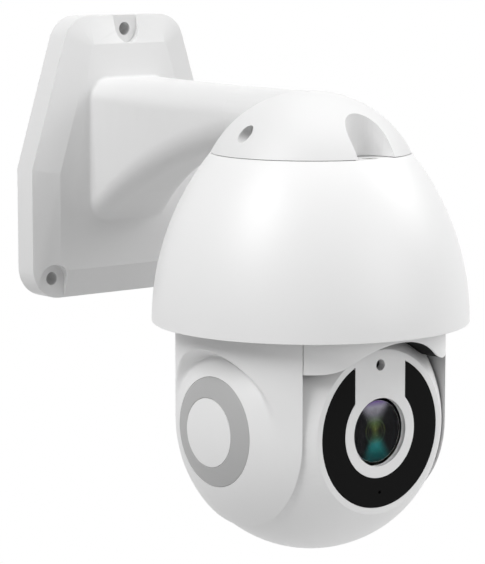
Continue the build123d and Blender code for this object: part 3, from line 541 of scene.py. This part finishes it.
class PTZ_OT_cheeks(CameraPiece, Operator):
    """Makes the two cheeks, each a drum that runs softly into a ball round its ear"""

    bl_idname = "ptz.cheeks"
    bl_label = "Cheeks"

    def execute(self, context):
        for side, sign in SIDES.items():
            self.cheek(side, sign, context.scene.ptz_shape)
        return {"FINISHED"}

    def cheek(self, side, sign, shape):
        low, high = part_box(f"{side}_cheek")
        inner = high.x if sign < 0 else low.x
        outer = abs(low.x if sign < 0 else high.x)
        recess = (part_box(f"{side}_ear_ring")[1].z - EYE_POINT.z) + SEAM * MM
        bm = self.disc(recess, outer * CHEEK_REACH)
        for vert in bm.verts:
            y, z = vert.co.y - EYE_POINT.y, vert.co.z - EYE_POINT.z
            out = self.swell(y, z, outer)
            if hypot(y, z) < recess - RECESS_STEP / 2 * MM:
                out -= RECESS_DEEP * MM  # the seat of the ring and cap
            vert.co.x = sign * out
        for point, normal in (((inner, 0, 0), (-sign, 0, 0)), ((0, 0, high.z), UP)):
            bmesh.ops.bisect_plane(
                bm, geom=bm.verts[:] + bm.edges[:] + bm.faces[:], dist=MERGE * MM,
                plane_co=point, plane_no=normal, clear_outer=True)
        self.flange(bm, inner)
        piece = solid(bm, f"{side}_cheek_shell")
        self.thicken(piece, shape.wall, sign, inner)
        settle(piece, "pan_head", "white_shell", f"{side}_cheek")

    def disc(self, recess, reach):
        """A flat disc of rings about the tilt axis, closest where the ear runs out."""
        bm = bmesh.new()
        radii = [0.0, recess - RECESS_STEP * MM, recess]
        while radii[-1] < reach:
            near = abs(radii[-1] / MM - EAR_R) < EAR_BLEND
            radii.append(radii[-1] + (FINE_STEP if near else COARSE_STEP) * MM)
        line = [bm.verts.new(EYE_POINT + UP * radius) for radius in radii]
        for first, second in zip(line, line[1:]):
            bm.edges.new((first, second))
        bmesh.ops.spin(
            bm, geom=bm.verts[:] + bm.edges[:], cent=EYE_POINT, axis=ACROSS, angle=2 * pi,
            steps=CHEEK_STEPS, use_merge=True, use_duplicate=False)
        bmesh.ops.remove_doubles(bm, verts=bm.verts, dist=MERGE * MM)
        return bm

    def swell(self, y, z, radius):
        """Distance of the outside from the middle plane."""
        ball = sqrt(max(radius**2 - y * y - z * z, 0))
        drum = sqrt(max(radius**2 - y * y, 0)) if z > 0 else ball
        run = (hypot(y, z) / MM - EAR_R + EAR_BLEND / 2) / EAR_BLEND
        run = min(max(run, 0), 1)
        return ball + (drum - ball) * run * run * (3 - 2 * run)

    def flange(self, bm, inner):
        """Turns the cheek's open edge inwards to a flat wall."""
        rim = [e for e in bm.edges
               if e.is_boundary and all(abs(v.co.x - inner) < 0.01 * MM for v in e.verts)]
        turned = bmesh.ops.extrude_edge_only(bm, edges=rim)
        for vert in (v for v in turned["geom"] if isinstance(v, bmesh.types.BMVert)):
            spoke = Vector((0, vert.co.y - EYE_POINT.y, vert.co.z - EYE_POINT.z))
            place = EYE_POINT + spoke.normalized() * FLANGE_R * MM
            vert.co = Vector((inner, place.y, place.z))

    def thicken(self, piece, thickness, sign, inner):
        """Gives the skin its wall, and keeps the wall's inside behind the flat flange."""
        skin = len(piece.data.vertices)
        wall = piece.modifiers.new("wall", "SOLIDIFY")
        wall.thickness = thickness
        wall.offset = -1.0
        graph = bpy.context.evaluated_depsgraph_get()
        mesh = bpy.data.meshes.new_from_object(piece.evaluated_get(graph), depsgraph=graph)
        piece.modifiers.clear()
        piece.data = mesh
        for vert in mesh.vertices[skin:]:
            vert.co.x = sign * max(sign * vert.co.x, sign * inner + FLANGE_WALL * MM)


class PTZ_OT_optics(CameraPiece, Operator):
    """Makes the window and the lens behind it, which has a painted reflection in its colour"""

    bl_idname = "ptz.optics"
    bl_label = "Optics"

    def execute(self, context):
        low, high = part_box("lens_window")
        radius = (high.x - low.x) / 2 / MM
        front = (low.y - FACE_Y) / MM
        back = (high.y - FACE_Y) / MM
        self.disc("window_glass", radius, front, back, GLASS_EDGE, "clear_window", "lens_window")
        front = back + LENS_GAP
        self.disc(
            "front_element", radius - LENS_EDGE, front, front + 2 * LENS_EDGE, LENS_EDGE,
            "coated_glass")
        return {"FINISHED"}

    def disc(self, name, radius, front, back, chamfer, slot, *nodes):
        """A round glass with a chamfered front edge, that rides on the eye."""
        made = Turning(LENS_POINT, INWARD, ACROSS)
        made.to(0, front).to(radius - chamfer, front).to(radius, front + chamfer)
        made.to(radius, back).to(0, back)
        settle(made.spin(name), "eye", slot, *nodes)


class PTZ_OT_stage(CameraPiece, Operator):
    """Sets the floor, the light and the camera"""

    bl_idname = "ptz.stage"
    bl_label = "Stage"

    def execute(self, context):
        scene = context.scene
        settings = scene.ptz_stage
        self.make_floor()
        self.make_surround(scene, settings.surround)
        for name, place, size, power in LAMPS:
            self.make_lamp(name, place, PAN_POINT, size, power)
        self.make_camera(scene, settings)
        scene.view_settings.view_transform = "Standard"
        return {"FINISHED"}

    def make_floor(self):
        """A pale floor that shows the shadow near the object and is plain white further away."""
        bm = bmesh.new()
        bmesh.ops.create_grid(bm, x_segments=1, y_segments=1, size=FLOOR_HALF)
        middle = Vector((PAN_POINT.x, PAN_POINT.y, CAD_BOX[0][2] - FLOOR_DROP))
        bmesh.ops.translate(bm, verts=bm.verts, vec=middle)
        floor = place_mesh(bm, bpy.data.meshes.new("floor"))
        finish = Finish("pale_floor", Base_Color=(0.8, 0.8, 0.8), Roughness=0.9)
        paper = finish.node("ShaderNodeEmission", None, {"Color": (1, 1, 1), "Strength": 1.0})
        away = finish.node(
            "ShaderNodeVectorMath", {"operation": "DISTANCE"},
            {0: finish.place(), 1: tuple(middle)}, output="Value")
        far = finish.node(
            "ShaderNodeMapRange", {"interpolation_type": "SMOOTHSTEP"},
            {"Value": away, "From Min": WHITE_FROM, "From Max": WHITE_AT})
        seen = finish.ray("Is Camera Ray", "Is Glossy Ray", "Is Transmission Ray")
        mixed = finish.node(
            "ShaderNodeMixShader", None, {0: seen * far, 1: finish.wire(finish.shader), 2: paper})
        finish.plug(finish.tree.nodes["Material Output"].inputs["Surface"], mixed)
        floor.data.materials.append(finish.material)

    def make_surround(self, scene, strength):
        """Soft even light on the object, and plain white where it is seen directly."""
        world = bpy.data.worlds.new("surround")
        world.use_nodes = True
        nodes = Nodes(world.node_tree)
        light = nodes.tree.nodes["Background"]
        light.inputs["Color"].default_value = (1, 1, 1, 1)
        light.inputs["Strength"].default_value = strength
        shown = nodes.node("ShaderNodeBackground", None, {"Color": (1, 1, 1)})
        seen = nodes.ray("Is Camera Ray", "Is Transmission Ray", "Is Glossy Ray")
        mixed = nodes.node(
            "ShaderNodeMixShader", None, {0: seen, 1: nodes.wire(light), 2: shown})
        nodes.plug(nodes.tree.nodes["World Output"].inputs["Surface"], mixed)
        scene.world = world

    def make_lamp(self, name, place, target, size, power):
        light = bpy.data.lights.new(name, "AREA")
        light.shape = "DISK"
        light.size = size
        light.energy = power
        lamp = bpy.data.objects.new(name, light)
        lamp.visible_camera = False
        lamp.location = place
        lamp.rotation_euler = (Vector(target) - Vector(place)).to_track_quat("-Z", "Y").to_euler()
        bpy.context.scene.collection.objects.link(lamp)

    def make_camera(self, scene, settings):
        lens = bpy.data.cameras.new("view")
        lens.lens = settings.focal
        lens.sensor_width = 36.0
        camera = bpy.data.objects.new("view", lens)
        camera.location = settings.place
        camera.rotation_euler = (pi / 2 - settings.pitch, 0, settings.heading)
        scene.collection.objects.link(camera)
        scene.camera = camera


PIECES = (PTZ_OT_finishes, PTZ_OT_shells, PTZ_OT_cheeks, PTZ_OT_optics, PTZ_OT_stage)


class PTZ_PT_pieces(Panel):
    """Lists the pieces of the camera"""

    bl_idname = "PTZ_PT_pieces"
    bl_label = "Pan and tilt camera"
    bl_space_type = "VIEW_3D"
    bl_region_type = "UI"
    bl_category = "Camera head"

    def draw(self, context):
        for piece in PIECES:
            self.layout.operator(piece.bl_idname)
        scene = context.scene
        for group in (scene.ptz_colours, scene.ptz_shape, scene.ptz_stage):
            for name in group.__annotations__:
                self.layout.prop(group, name)


CLASSES = (CameraColours, CameraShape, CameraStage, *PIECES, PTZ_PT_pieces)


def register():
    for made in CLASSES:
        bpy.utils.register_class(made)
    bpy.types.Scene.ptz_colours = PointerProperty(type=CameraColours)
    bpy.types.Scene.ptz_shape = PointerProperty(type=CameraShape)
    bpy.types.Scene.ptz_stage = PointerProperty(type=CameraStage)


def unregister():
    del bpy.types.Scene.ptz_stage
    del bpy.types.Scene.ptz_shape
    del bpy.types.Scene.ptz_colours
    for made in reversed(CLASSES):
        bpy.utils.unregister_class(made)


def main():
    register()
    for piece in PIECES:
        group, name = piece.bl_idname.split(".")
        getattr(getattr(bpy.ops, group), name)()


if __name__ == "__main__":
    main()
